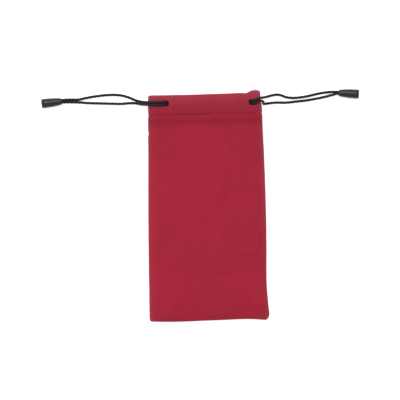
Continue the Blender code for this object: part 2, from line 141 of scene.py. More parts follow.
# Each side's route, the middle of its cord end's neck, the way that points in plan, and its slot
SIDES = {
    "left": {
        "route": LEFT_UPPER_STRAND + LEFT_ROUND_THE_CHANNEL + LEFT_LOWER_STRAND,
        "neck": (-0.1130, 0.0857, 0.0032),
        "heading": math.radians(185.5),
        "slot": (-31.2 * MM, 81.7 * MM),
        "slot_length": 6.6 * MM,
    },
    "right": {
        "route": RIGHT_UPPER_STRAND + RIGHT_ROUND_THE_CHANNEL + RIGHT_LOWER_STRAND,
        "neck": (0.1069, 0.08725, 0.0032),
        "heading": math.radians(-5.0),
        "slot": (38.3 * MM, 81.2 * MM),
        "slot_length": 6.4 * MM,
    },
}
BELL_RISE = math.radians(1.9)
SLOT_WIDTH = 4.5 * MM
SLOT_CORNER = 1.6 * MM
SLOT_CUT_HEIGHT = 3.1 * MM

# A laid cord: its points' spacing, how broad its strands' backs are, their level, its fine yarns
CORD_STEP = 0.24 * MM
STRANDS = 3
STRAND_BREADTH = 0.55
STRAND_LEVEL = 0.8
YARN_SHARE = 0.06

# Each knot: its place in the bell, its outer radius, how thin and how flat it is pulled, its tails
KNOT_FROM_NECK = 8.2 * MM
KNOT_RADIUS = 2.3 * MM
KNOT_SQUEEZE = 0.92
KNOT_FLATNESS = 0.62
TAIL_LENGTH = 4.4 * MM

# How the real outline strays from the even one, as (place, shift) along each edge
TOP_EDGE = [(-44.3, -1.35), (-34, -1.6), (-24.6, -1.65), (-10, -1.7), (4.8, -1.55), (28.7, -1.2),
            (34.4, -1.05), (35.3, -0.6), (36.4, 0.1), (41.4, 0.5), (44.3, 0.7)]
BASE_EDGE = [(-47, -0.75), (-31, -1.3), (7, -0.85), (38, -0.85), (44, -1.4), (47, -1.7)]
LEFT_EDGE = [(-90, -0.1), (-67, 0.1), (0, 0.4), (40, 0.35), (70, 0.0), (90, 0.0)]
RIGHT_EDGE = [(-90, -1.2), (-86, 0.5), (-80, 0.0), (-67, -0.9), (-30, -0.3), (0, 0.3), (40, 0.8),
              (62.5, 0.9), (70, 1.0), (75, 1.1), (82, 0.4), (87, 0.1), (90, 0.1)]
EDGE_NOTCH = (58.5, 0.5, 1.6)

# How far the cloth presses in or stands out: at the stitches, the flap, the channel, the seams
STITCHES_PRESS = 0.42 * MM
PUCKER = 0.05 * MM
SLACK = 0.16 * MM
FLAP_STEP = 0.10 * MM
CHANNEL_SWELL = 0.10 * MM
ALLOWANCE_STEP = 0.12 * MM
ALLOWANCE_EDGE = 1.4 * MM
WAVES = 0.22 * MM
RIPPLES = 0.07 * MM

# How deep the threads sink into the cloth, and their spacing in millimetres, which puckers follow
SUNK_OUTSIDE = 0.36 * MM
SUNK_INSIDE = 0.42 * MM
STITCH_PITCH = 4.4

# Where the fibres fray out of the mouth's right corner, in millimetres
FIBRE_X = (39.4, 43.2)
FIBRE_Y = 90.1
FIBRE_Z = (8.5, 10.5)

# The cloth's mesh: steps round each folded side and points across each wall
SIDE_STEPS = 16
WALL_POINTS = 83

# A Mix node's sockets share their names, so they are told apart by place
MIX_SHARE, MIX_FROM, MIX_TO, MIX_RESULT = 0, 2, 3, 0
MIX_COLOUR_FROM, MIX_COLOUR_TO, MIX_COLOUR_RESULT = 6, 7, 2
WHITE = (1.0, 1.0, 1.0, 1.0)

# Painted light and shade on the cloth, as how much redder, greener and bluer each part is than the cloth's
# own colour:
# painted shade over the hem, a painted shadow under the flap's edge, a painted sheen towards the mouth,
# lighter towards the closed end, painted shade along the base seam, a painted sheen along each folded
# side, painted light on the left side and painted shade over the seam allowance on the right
HEM_SHADE = (-0.16, -0.12, -0.12)
FLAP_SHADOW = (-0.06, -0.28, -0.17)
MOUTH_PAINTED_SHEEN = (0.19, 1.95, 1.00)
BASE_LIFT = (0.05, 0.01, 0.05)
BASE_SEAM_SHADE = (-0.07, 0.04, 0.00)
LEFT_FOLD_PAINTED_SHEEN = (0.10, 1.60, 0.85)
LEFT_SIDE_PAINTED_LIGHT = (0.04, 0.10, 0.08)
RIGHT_FOLD_PAINTED_SHEEN = (0.14, 1.20, 0.65)
SIDE_SEAM_SHADE = (-0.05, -0.01, -0.03)


def millimetres(name, description, value):
    return FloatProperty(name=name, description=description, default=value * MM, unit="LENGTH")


def colour_property(name, description, red, green, blue):
    return FloatVectorProperty(name=name, description=description, default=(red, green, blue, 1.0),
                               subtype="COLOR", size=4, min=0.0, max=1.0)


class PouchClothSettings(PropertyGroup):
    """Sizes and colours of the cloth pouch"""
    width_at_mouth: millimetres("Width at Mouth", "Width of the pouch at its mouth", 88.8)
    width_at_base: millimetres("Width at Base", "Width of the pouch at its closed end", 94.6)
    side_bow: millimetres("Side Bow", "How far each side bows out halfway", 0.9)
    base_corner: millimetres("Base Corner", "Radius of the corners at the closed end", 2.2)
    cloth: millimetres("Cloth", "Thickness of the cloth", 0.6)
    belly: millimetres("Belly", "Thickness over both walls below the hem", 11.2)
    base_thickness: millimetres("Base Thickness", "Thickness over both walls at the closed end", 1.8)
    side_fold: millimetres("Side Fold", "Radius of the folded sides", 1.9)
    shoulder: millimetres("Shoulder", "Length over which the sides go from round to folded flat", 42)
    base_taper: millimetres("Base Taper", "Length over which the pouch thins to its closed end", 62)
    hem_depth: millimetres("Hem Depth", "From the mouth's fold to the row of stitches", 17.4)
    flap: millimetres("Flap", "Cloth turned in below the stitches", 5.5)
    channel_gap: millimetres(
        "Channel Gap", "From the middle of one wall of the channel to the other", 3.1)
    seam_allowance: millimetres("Seam Allowance", "Cloth turned in along the right side and the base", 8.0)
    colour: colour_property("Colour", "Colour of the brushed cloth", 0.372, 0.0177, 0.0397)
    shade: colour_property("Shade", "Colour where the nap lies the other way", 0.322, 0.0136, 0.0328)


class StitchSettings(PropertyGroup):
    """Sizes and colour of the row of stitches under the hem"""
    pitch: millimetres("Pitch", "From one stitch to the next", STITCH_PITCH)
    length: millimetres("Length", "Length of one stitch that shows", 3.8)
    thread: millimetres("Thread", "Diameter of the thread", 0.50)
    seed: IntProperty(name="Seed", description="Which uneven row it is", default=4)
    colour: colour_property("Colour", "Colour of the thread", 0.165, 0.0035, 0.0120)


class FibreSettings(PropertyGroup):
    """Sizes of the fibres that fray out of the mouth's right corner"""
    count: IntProperty(name="Count", description="How many fibres stand out", default=9)
    length: millimetres("Length", "Length of the longest fibre", 2.8)
    thickness: millimetres("Thickness", "Diameter of one fibre", 0.20)
    seed: IntProperty(name="Seed", description="Which tuft it is", default=7)


class CordSettings(PropertyGroup):
    """Sizes and colours of the drawcords"""
    diameter: millimetres("Diameter", "Diameter of the cord", 1.8)
    lay: millimetres("Lay", "Length in which one of the three strands goes once round", 9.3)
    relief: millimetres("Relief", "Depth of the grooves between the strands", 0.26)
    nap: millimetres("Nap", "How far the fibres stand out all round", 0.12)
    colour: colour_property("Colour", "Colour of the cord", 0.0036, 0.0032, 0.0034)
    # Painted glints: a lighter tone that lies over the cord in flecks and stands in for light glinting on
    # its fibres
    painted_glint: colour_property("Painted Glint", "Colour of the glinting flecks", 0.024, 0.025, 0.025)


class CordEndSettings(PropertyGroup):
    """Sizes and colour of the bell-shaped cord ends"""
    length: millimetres("Length", "Length of a cord end", 16)
    neck: millimetres("Neck Radius", "Outer radius at the neck", 2.5)
    mouth: millimetres("Mouth Radius", "Outer radius at the mouth", 3.7)
    bore: millimetres("Bore Radius", "Radius of the hole for both strands", 2.1)
    wall: millimetres("Wall", "Thickness of the wall", 0.6)
    colour: colour_property("Colour", "Colour of the plastic", 0.0085, 0.0125, 0.0125)


class StageSettings(PropertyGroup):
    """The table, the light and the camera"""
    lens: FloatProperty(
        name="Lens", description="Focal length of the camera in millimetres", default=200.0)
    sky: FloatProperty(
        name="Sky", description="Strength of the even light from all round", default=0.62)
    key: FloatProperty(
        name="Key Light", description="Strength of the soft light overhead in watts", default=7.5)
    floor: colour_property("Floor", "Colour of the table", 0.80, 0.80, 0.80)
    backdrop: FloatProperty(
        name="Backdrop", description="How much whiter the table shows to the camera", default=0.60)


def on_photo(x, y):
    """The place on the table that a pixel of the photograph shows."""
    right = (x - MIDDLE_PIXEL[0]) * METRES_PER_PIXEL
    up = (MIDDLE_PIXEL[1] - y) * METRES_PER_PIXEL
    cos, sin = math.cos(PHOTO_TURN), math.sin(PHOTO_TURN)
    return right * cos + up * sin, up * cos - right * sin


def link(name, data):
    made = bpy.data.objects.new(name, data)
    bpy.context.scene.collection.objects.link(made)
    return made


def mesh_of(name, points, faces, smooth=True):
    mesh = bpy.data.meshes.new(name)
    mesh.from_pydata([tuple(point) for point in points], [], faces)
    mesh.update()
    if smooth:
        mesh.shade_smooth()
    return mesh


def settle(piece):
    """Turns a piece with live modifiers into a plain mesh of its own."""
    evaluated = piece.evaluated_get(bpy.context.evaluated_depsgraph_get())
    mesh = bpy.data.meshes.new_from_object(evaluated)
    piece.modifiers.clear()
    piece.data = mesh


def dress(piece, material, slot, *nodes):
    """Gives a finished piece its material and its body, and hides the solids it stands for; its slot is
    not used.
    """
    piece.data.materials.clear()
    piece.data.materials.append(material)
    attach(piece, BODY)
    if nodes:
        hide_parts(*nodes)


def between(table, places):
    """Shifts in metres at these places, smoothly joined from a table of (place, shift) in mm."""
    spots = np.array([spot for spot, _ in table]) * MM
    shifts = np.array([shift for _, shift in table]) * MM
    slopes = np.gradient(shifts, spots)
    places = np.clip(places, spots[0], spots[-1])
    index = np.clip(np.searchsorted(spots, places) - 1, 0, len(spots) - 2)
    gap = spots[index + 1] - spots[index]
    t = (places - spots[index]) / gap
    return ((2 * t ** 3 - 3 * t ** 2 + 1) * shifts[index] + (t ** 3 - 2 * t ** 2 + t) * gap * slopes[index]
            + (3 * t ** 2 - 2 * t ** 3) * shifts[index + 1] + (t ** 3 - t ** 2) * gap * slopes[index + 1])


def ease(share):
    share = np.clip(share, 0.0, 1.0)
    return share * share * (3 - 2 * share)


def bump(distance, width):
    return np.exp(-(distance / width) ** 2)


def smooth_curve(points, step):
    """Close points on one smooth curve through the route's points (centripetal spline)."""
    route = [np.array(point) for point in points]
    route = [2 * route[0] - route[1]] + route + [2 * route[-1] - route[-2]]
    curve = []
    for a, b, c, d in zip(route, route[1:], route[2:], route[3:]):
        t1 = np.linalg.norm(b - a) ** 0.5
        t2 = t1 + np.linalg.norm(c - b) ** 0.5
        t3 = t2 + np.linalg.norm(d - c) ** 0.5
        count = max(2, int(round(np.linalg.norm(c - b) / step)))
        for t in np.linspace(t1, t2, count, endpoint=False):
            ab = a + (b - a) * t / t1
            bc = b + (c - b) * (t - t1) / (t2 - t1)
            cd = c + (d - c) * (t - t2) / (t3 - t2)
            abc = ab + (bc - ab) * t / t2
            bcd = bc + (cd - bc) * (t - t1) / (t3 - t1)
            curve.append(abc + (bcd - abc) * (t - t1) / (t2 - t1))
    curve.append(route[-2])
    return np.array(curve)


def frames_along(path):
    """Two directions square to the path at each point, carried along it without twisting."""
    tangents = np.gradient(path, axis=0)
    tangents /= np.linalg.norm(tangents, axis=1)[:, None]
    side = np.cross(tangents[0], (0.0, 0.0, 1.0))
    sides = []
    for tangent in tangents:
        side = side - tangent * np.dot(side, tangent)
        side = side / np.linalg.norm(side)
        sides.append(side)
    sides = np.array(sides)
    return sides, np.cross(tangents, sides)


def band_faces(rows, around):
    """The four-sided faces between closed rings of points, one above the other."""
    faces = []
    for start in range(0, (rows - 1) * around, around):
        for i in range(around):
            j = (i + 1) % around
            faces.append((start + i, start + j, start + around + j, start + around + i))
    return faces


def laid_tube(name, path, radius, lay, relief, around=22):
    """A closed tube with the grooves of a cord laid from three strands, with a UV map along it."""
    first, second = frames_along(path)
    steps = np.linalg.norm(np.diff(path, axis=0), axis=1)
    along = np.concatenate([[0.0], np.cumsum(steps)])
    angles = np.arange(around) * 2 * math.pi / around
    turned = angles - 2 * math.pi * along[:, None] / lay
    strands = np.abs(np.cos(STRANDS / 2 * turned)) ** STRAND_BREADTH
    yarns = np.cos(8 * angles + 10 * math.pi * along[:, None] / lay)
    reach = radius + relief * (strands - STRAND_LEVEL) + YARN_SHARE * relief * yarns
    ring = (first[:, None, :] * np.cos(angles)[None, :, None]
            + second[:, None, :] * np.sin(angles)[None, :, None])
    points = (path[:, None, :] + ring * reach[:, :, None]).reshape(-1, 3)
    count = len(path)
    faces = band_faces(count, around)
    faces.append(tuple(reversed(range(around))))
    faces.append(tuple((count - 1) * around + i for i in range(around)))
    mesh = mesh_of(name, points, faces)
    layer = mesh.uv_layers.new(name="along_cord")
    corners = np.zeros(len(mesh.loops), dtype=int)
    mesh.loops.foreach_get("vertex_index", corners)
    rows, spots = corners // around, corners % around
    across = spots / around
    across = np.where((np.arange(len(corners)) % 4 % 3 != 0) & (spots == 0), 1.0, across)
    uv = np.stack([across, along[rows] / lay], axis=1)
    layer.data.foreach_set("uv", uv.ravel())
    return mesh


def tubes(name, paths, radius, lay, relief, around):
    """One mesh of several tubes, each along its own path."""
    whole = bmesh.new()
    for path in paths:
        part = laid_tube(name, np.array(path), radius, lay, relief, around)
        whole.from_mesh(part)
        bpy.data.meshes.remove(part)
    mesh = bpy.data.meshes.new(name)
    whole.to_mesh(mesh)
    whole.free()
    mesh.shade_smooth()
    return mesh


def set_values(node, values):
    for name, value in values.items():
        node.inputs[name].default_value = value


def add_node(tree, kind, values=None, **settings):
    """A new node with its own settings and with values for some of its inputs."""
    node = tree.nodes.new(kind)
    for name, value in settings.items():
        setattr(node, name, value)
    set_values(node, values or {})
    return node


def wire(tree, *runs):
    """Links nodes, each run going from one node's output to another node's input."""
    for source, output, target, entry in runs:
        tree.links.new(source.outputs[output], target.inputs[entry])


def add_input(tree, name, kind, value=None, low=None):
    socket = tree.interface.new_socket(name=name, in_out="INPUT", socket_type=kind)
    if value is not None:
        socket.default_value = value
    if low is not None:
        socket.min_value = low


def add_output(tree, name, kind):
    tree.interface.new_socket(name=name, in_out="OUTPUT", socket_type=kind)


def shader_of(material):
    return material.node_tree.nodes["Principled BSDF"]


def new_material(name, values):
    """A material whose shader has these values."""
    material = bpy.data.materials.new(name)
    material.use_nodes = True
    set_values(shader_of(material), values)
    return material


def mottle_group():
    """Two tones that drift into each other over the surface, with fine grain for the height."""
    group = bpy.data.node_groups.get("mottle")
    if group is not None:
        return group
    group = bpy.data.node_groups.new("mottle", "ShaderNodeTree")
    add_input(group, "Vector", "NodeSocketVector")
    add_input(group, "Patch Scale", "NodeSocketFloat", 60.0)
    add_input(group, "Grain Scale", "NodeSocketFloat", 4000.0)
    add_input(group, "Grain Share", "NodeSocketFloat", 0.5)
    add_input(group, "Light Tone", "NodeSocketColor", (0.5, 0.5, 0.5, 1.0))
    add_input(group, "Dark Tone", "NodeSocketColor", (0.2, 0.2, 0.2, 1.0))
    add_output(group, "Color", "NodeSocketColor")
    add_output(group, "Height", "NodeSocketFloat")
    given = add_node(group, "NodeGroupInput")
    made = add_node(group, "NodeGroupOutput")
    patches = add_node(group, "ShaderNodeTexNoise", {"Detail": 4.0, "Roughness": 0.55})
    grain = add_node(group, "ShaderNodeTexNoise", {"Detail": 3.0, "Roughness": 0.7})
    share = add_node(group, "ShaderNodeMix", data_type="FLOAT")
    spread = add_node(group, "ShaderNodeMapRange", {"From Min": 0.32, "From Max": 0.68})
    tone = add_node(group, "ShaderNodeMix", data_type="RGBA")
    for texture, scale in ((patches, "Patch Scale"), (grain, "Grain Scale")):
        wire(group, (given, "Vector", texture, "Vector"), (given, scale, texture, "Scale"))
    wire(group,
         (given, "Grain Share", share, MIX_SHARE),
         (patches, "Fac", share, MIX_FROM),
         (grain, "Fac", share, MIX_TO),
         (share, MIX_RESULT, spread, "Value"),
         (spread, "Result", tone, MIX_SHARE),
         (given, "Dark Tone", tone, MIX_COLOUR_FROM),
         (given, "Light Tone", tone, MIX_COLOUR_TO),
         (tone, MIX_COLOUR_RESULT, made, "Color"),
         (grain, "Fac", made, "Height"))
    return group


def mottled(material, light, dark, patch, grain, share, height):
    """Places the mottle in a material, feeding its colour and a bump of that height."""
    tree = material.node_tree
    shader = shader_of(material)
    place = add_node(tree, "ShaderNodeTexCoord")
    mottle = add_node(tree, "ShaderNodeGroup", {
        "Patch Scale": patch, "Grain Scale": grain, "Grain Share": share,
        "Light Tone": light, "Dark Tone": dark}, node_tree=mottle_group())
    relief = add_node(tree, "ShaderNodeBump", {"Distance": height, "Strength": 1.0})
    wire(tree,
         (place, "Object", mottle, "Vector"),
         (mottle, "Color", shader, "Base Color"),
         (mottle, "Height", relief, "Height"),
         (relief, "Normal", shader, "Normal"))
    return mottle


def tinted(material, mottle, name):
    """Multiplies the mottle's colour by a colour kept on the mesh itself, which holds the painted light
    and shade.
    """
    tree = material.node_tree
    tint = add_node(tree, "ShaderNodeAttribute", attribute_name=name)
    product = add_node(tree, "ShaderNodeMix", {MIX_SHARE: 1.0}, data_type="RGBA",
                       blend_type="MULTIPLY")
    wire(tree,
         (mottle, "Color", product, MIX_COLOUR_FROM),
         (tint, "Color", product, MIX_COLOUR_TO),
         (product, MIX_COLOUR_RESULT, shader_of(material), "Base Color"))


def cloth_material(settings):
    material = new_material("brushed_cloth", {
        "Roughness": 0.92, "Specular IOR Level": 0.18, "Sheen Weight": 0.12,
        "Sheen Roughness": 0.45, "Sheen Tint": (1.0, 0.55, 0.60, 1.0)})
    mottle = mottled(material, light=settings.colour, dark=settings.shade, patch=95.0, grain=5200.0,
                     share=0.45, height=0.05 * MM)
    tinted(material, mottle, "tint")
    return material


def thread_material(settings):
    material = new_material("sewing_thread", {"Roughness": 0.6, "Specular IOR Level": 0.08})
    dark = [value * 0.6 for value in settings.colour[:3]] + [1.0]
    mottled(material, light=settings.colour, dark=dark, patch=300.0, grain=6000.0, share=0.5,
            height=0.02 * MM)
    return material


def cord_material(settings):
    """Black cord: its own UV map carries the fibres, and lighter flecks lie over it as painted glints of
    light on its fibres.
    """
    material = new_material("black_cord", {
        "Roughness": 0.62, "Specular IOR Level": 0.16, "Sheen Weight": 0.02})
    mottled(material, light=settings.painted_glint, dark=settings.colour, patch=420.0, grain=2600.0,
            share=0.55, height=0.03 * MM)
    tree = material.node_tree
    place = add_node(tree, "ShaderNodeUVMap", uv_map="along_cord")
    fibre = add_node(tree, "ShaderNodeTexNoise", {"Scale": 9.0, "Detail": 3.0})
    spread = add_node(tree, "ShaderNodeMapRange", {
        "From Min": 0.35, "From Max": 0.75, "To Min": 0.48, "To Max": 0.72})
    wire(tree,
         (place, "UV", fibre, "Vector"),
         (fibre, "Fac", spread, "Value"),
         (spread, "Result", shader_of(material), "Roughness"))
    return material


def plastic_material(settings):
    material = new_material("moulded_plastic", {"Roughness": 0.34, "Specular IOR Level": 0.38})
    light = [value * 1.35 for value in settings.colour[:3]] + [1.0]
    mottled(material, light=light, dark=settings.colour, patch=260.0, grain=1800.0, share=0.3,
            height=0.006 * MM)
    return material


class PouchShape:
    """The pouch's form in the middle of its cloth, worked out from its sizes."""

    def __init__(self, sizes):
        self.sizes = sizes
        self.base_y, self.mouth_y = POUCH_LOW.y, POUCH_HIGH.y
        self.length = self.mouth_y - self.base_y
        self.hem = POUCH_HIGH.z
        self.stitch_y = self.mouth_y - sizes.hem_depth
        self.flap_y = self.stitch_y - sizes.flap
        self.fold_y = self.mouth_y - sizes.cloth / 2 - sizes.channel_gap / 2

    def half_width(self, y):
        s = self.sizes
        up = y - self.base_y
        half = (s.width_at_base + (s.width_at_mouth - s.width_at_base) * up / self.length) / 2
        half += s.side_bow * math.sin(math.pi * min(up / (self.length - s.hem_depth), 1.0))
        if up < s.base_corner:
            half -= s.base_corner - math.sqrt(s.base_corner ** 2 - (s.base_corner - up) ** 2)
        return half

    def hem_share(self, y):
        return float(ease((y - self.flap_y + self.sizes.shoulder) / self.sizes.shoulder))

    def thickness(self, y):
        s = self.sizes
        full = s.belly + (self.hem - s.belly) * self.hem_share(y)
        rising = math.sin(min((y - self.base_y) / s.base_taper, 1.0) * math.pi / 2)
        return s.base_thickness + (full - s.base_thickness) * rising

    def side_radius(self, y):
        half_height = (self.thickness(y) - self.sizes.cloth) / 2
        folded = min(self.sizes.side_fold, half_height)
        return folded + (half_height - folded) * self.hem_share(y)

    def ring(self, y, inset):
        """Points round the pouch and the way out of the cloth at each, for one height."""
        radius = self.side_radius(y) - inset
        height = self.thickness(y) - self.sizes.cloth - 2 * inset
        reach = self.half_width(y) - self.sizes.cloth / 2 - inset - radius
        floor = self.sizes.cloth / 2 + inset
        arc = np.linspace(-math.pi / 2, math.pi / 2, SIDE_STEPS + 1)
        share = 1 - 2 * np.arange(1, WALL_POINTS + 1) / (WALL_POINTS + 1)
        crown = np.cos(share * math.pi / 2) ** 1.4
        flat = np.full(WALL_POINTS, floor)
        x = np.concatenate([reach + radius * np.cos(arc), share * reach,
                            -reach - radius * np.cos(arc[::-1]), -share * reach])
        z = np.concatenate([floor + radius * (1 + np.sin(arc)),
                            floor + 2 * radius + (height - 2 * radius) * crown,
                            floor + radius * (1 + np.sin(arc[::-1])), flat])
        out_x = np.concatenate([np.cos(arc), 0 * share, -np.cos(arc[::-1]), 0 * share])
        out_z = np.concatenate([np.sin(arc), 0 * share + 1, np.sin(arc[::-1]), 0 * share - 1])
        return x, z, out_x, out_z

    def stations(self):
        """(height, how far in from the outside, 1 on the outer wall or 0 on the inner) up and over."""
        s = self.sizes
        low = self.base_y + s.cloth / 2
        outer = [low, low + 0.4 * MM, low + 0.9 * MM, low + 1.5 * MM, low + 2.3 * MM]
        outer += list(np.linspace(low + 3.2 * MM, self.flap_y - 3 * MM, 116))
        outer += list(np.linspace(self.flap_y - 3 * MM, self.fold_y, 42)[1:-1])
        rows = [(y, 0.0, 1.0) for y in outer]
        for turn in np.linspace(0, math.pi, 15):
            out = math.copysign(abs(math.cos(turn)) ** 0.65, math.cos(turn))
            up = abs(math.sin(turn)) ** 0.65
            rows.append((self.fold_y + up * s.channel_gap / 2, (1 - out) * s.channel_gap / 2,
                         (1 + out) / 2))
        for y in np.linspace(self.fold_y, self.flap_y, 30)[1:]:
            rows.append((y, self.inner_gap(y), 0.0))
        return rows

    def inner_gap(self, y):
        """From the middle of the outer wall to the middle of the turned-in one."""
        stitched = self.sizes.cloth + 0.3 * MM
        opening = ease((y - self.stitch_y - 0.3 * MM) / (2.6 * MM))
        return stitched + (self.sizes.channel_gap - stitched) * float(opening)


def grain_at(x, y, z, scale, seed):
    return np.array([noise.noise(Vector((a * scale, b * scale + seed, c * scale)))
                     for a, b, c in zip(x, y, z)])


def relief_at(shape, x, y, z, outer, front):
    """How far the cloth stands out of its even form: seams, stitches, hem, slack and folds."""
    s = shape.sizes
    from_stitch = y - shape.stitch_y
    sewn = bump(from_stitch, 1.1 * MM)
    pucker = np.cos(2 * math.pi * x / (STITCH_PITCH * MM)) * bump(from_stitch, 1.5 * MM)
    slack = grain_at(x, y * 0.25, z, 130.0, 3.0) * bump(from_stitch, 7 * MM)
    out = -STITCHES_PRESS * sewn + PUCKER * pucker + SLACK * slack
    out += FLAP_STEP * ease((y - shape.flap_y + 0.6 * MM) / (1.6 * MM)) * (from_stitch < 0)
    channel = np.clip(from_stitch / s.hem_depth, 0, 1)
    out += CHANNEL_SWELL * np.sin(math.pi * channel) * front
    wide = np.array([shape.half_width(v) for v in y])
    up = y - shape.base_y
    side = ease((x - (wide - s.seam_allowance)) / ALLOWANCE_EDGE)
    low = ease((s.seam_allowance - up) / ALLOWANCE_EDGE)
    out += ALLOWANCE_STEP * np.maximum(side, low) * front
    out += WAVES * grain_at(x, y, z, 26.0, 11.0) * front
    out += RIPPLES * grain_at(x, y, z, 85.0, 29.0)
    away_from_edges = ease(up / (6 * MM))
    return out * outer * away_from_edges


def tint_cloth(mesh, shape):
    """Keeps on the mesh the cloth's painted light and shade: hem, flap, mouth, closed end, folded sides
    and seam allowance.
    """
    places = np.zeros(len(mesh.vertices) * 3)
    mesh.vertices.foreach_get("co", places)
    x, y, _ = places.reshape(-1, 3).T
    inside = np.clip(y, shape.base_y, shape.mouth_y)
    wide = np.array([shape.half_width(v) for v in inside])
    from_left, from_right = np.maximum(wide + x, 0), np.maximum(wide - x, 0)
    below_hem = ease((shape.flap_y - 5 * MM - y) / (10 * MM))
    on_allowance = ease((shape.sizes.seam_allowance - from_right) / (1.5 * MM))
    to_mouth = np.clip((y - shape.stitch_y + 1.5 * MM) / (19 * MM), 0, 1)
    # Painted shade at the hem, the flap's edge and the seams, painted sheen at the mouth and folded sides,
    # lighter at the closed end
    effects = (
        (ease((y - shape.flap_y + 10 * MM) / (10 * MM)), HEM_SHADE),
        (bump(y - shape.flap_y, 2.4 * MM), FLAP_SHADOW),
        (to_mouth ** 2, MOUTH_PAINTED_SHEEN),
        (ease((shape.base_y + 52 * MM - y) / (25 * MM)), BASE_LIFT),
        (ease((shape.base_y + 8 * MM - y) / (8 * MM)), BASE_SEAM_SHADE),
        (np.exp(-from_left / (1.4 * MM)), LEFT_FOLD_PAINTED_SHEEN),
        (bump(from_left, 8 * MM), LEFT_SIDE_PAINTED_LIGHT),
        (np.exp(-from_right / (1.8 * MM)), RIGHT_FOLD_PAINTED_SHEEN),
        (on_allowance * below_hem, SIDE_SEAM_SHADE),
    )
    tint = np.ones((len(y), 3))
    for share, change in effects:
        tint *= 1 + share[:, None] * np.array(change)
    colours = np.concatenate([tint, np.ones((len(tint), 1))], axis=1)
    layer = mesh.color_attributes.new(name="tint", type="FLOAT_COLOR", domain="POINT")
    layer.data.foreach_set("color", colours.ravel())


def cloth_mesh(shape):
    rows, ways, wheres = [], [], []
    for y, inset, outer in shape.stations():
        x, z, out_x, out_z = shape.ring(y, inset)
        rows.append(np.stack([x, np.full(len(x), y), z], axis=1))
        ways.append(np.stack([out_x, np.zeros(len(x)), out_z], axis=1))
        wheres.append(np.full(len(x), outer))
    count = len(rows[0])
    points, ways, outer = np.concatenate(rows), np.concatenate(ways), np.concatenate(wheres)
    front = ease((ways[:, 2] + 0.2) / 1.2)
    x, y, z = points.T
    out = relief_at(shape, x, y, z, outer, front)
    resting = ways[:, 2] < -0.5
    out = np.where(resting, np.minimum(out, 0.0), out)
    points = points + ways * out[:, None]
    wide = np.array([shape.half_width(v) for v in y])
    share = np.clip((x / wide + 1) / 2, 0, 1)
    notch_y, notch_in, notch_long = (value * MM for value in EDGE_NOTCH)
    left = between(LEFT_EDGE, y) + notch_in * bump(y - notch_y, notch_long)
    points[:, 0] += left * (1 - share) ** 3 + between(RIGHT_EDGE, y) * share ** 3
    near_top = ease((y - shape.stitch_y) / (shape.mouth_y - shape.stitch_y))
    near_base = ease((shape.base_y + 30 * MM - y) / (30 * MM))
    points[:, 1] += between(TOP_EDGE, x) * near_top + between(BASE_EDGE, x) * near_base
    faces = band_faces(len(rows), count)
    half = SIDE_STEPS // 2
    for i in range(half, half + count // 2):
        corners = (i, (SIDE_STEPS - i) % count, (SIDE_STEPS - i - 1) % count, i + 1)
        faces.append(tuple(dict.fromkeys(corners)))
    return mesh_of("pouch_cloth", points, faces)


def slot_cutter(name, place, length):
    """An upright rounded block the size of a slot, for the front wall of the hem."""
    shape = bmesh.new()
    bmesh.ops.create_cube(shape, size=1.0)
    bmesh.ops.scale(shape, vec=(length, SLOT_WIDTH, SLOT_CUT_HEIGHT), verts=shape.verts)
    upright = [edge for edge in shape.edges
               if abs(edge.verts[0].co.z - edge.verts[1].co.z) > 1 * MM]
    bmesh.ops.bevel(shape, geom=upright, offset=SLOT_CORNER, segments=6, profile=0.5, affect="EDGES")
    bmesh.ops.translate(shape, vec=place, verts=shape.verts)
    bmesh.ops.recalc_face_normals(shape, faces=shape.faces)
    mesh = bpy.data.meshes.new(name)
    shape.to_mesh(mesh)
    shape.free()
    return link(name, mesh)


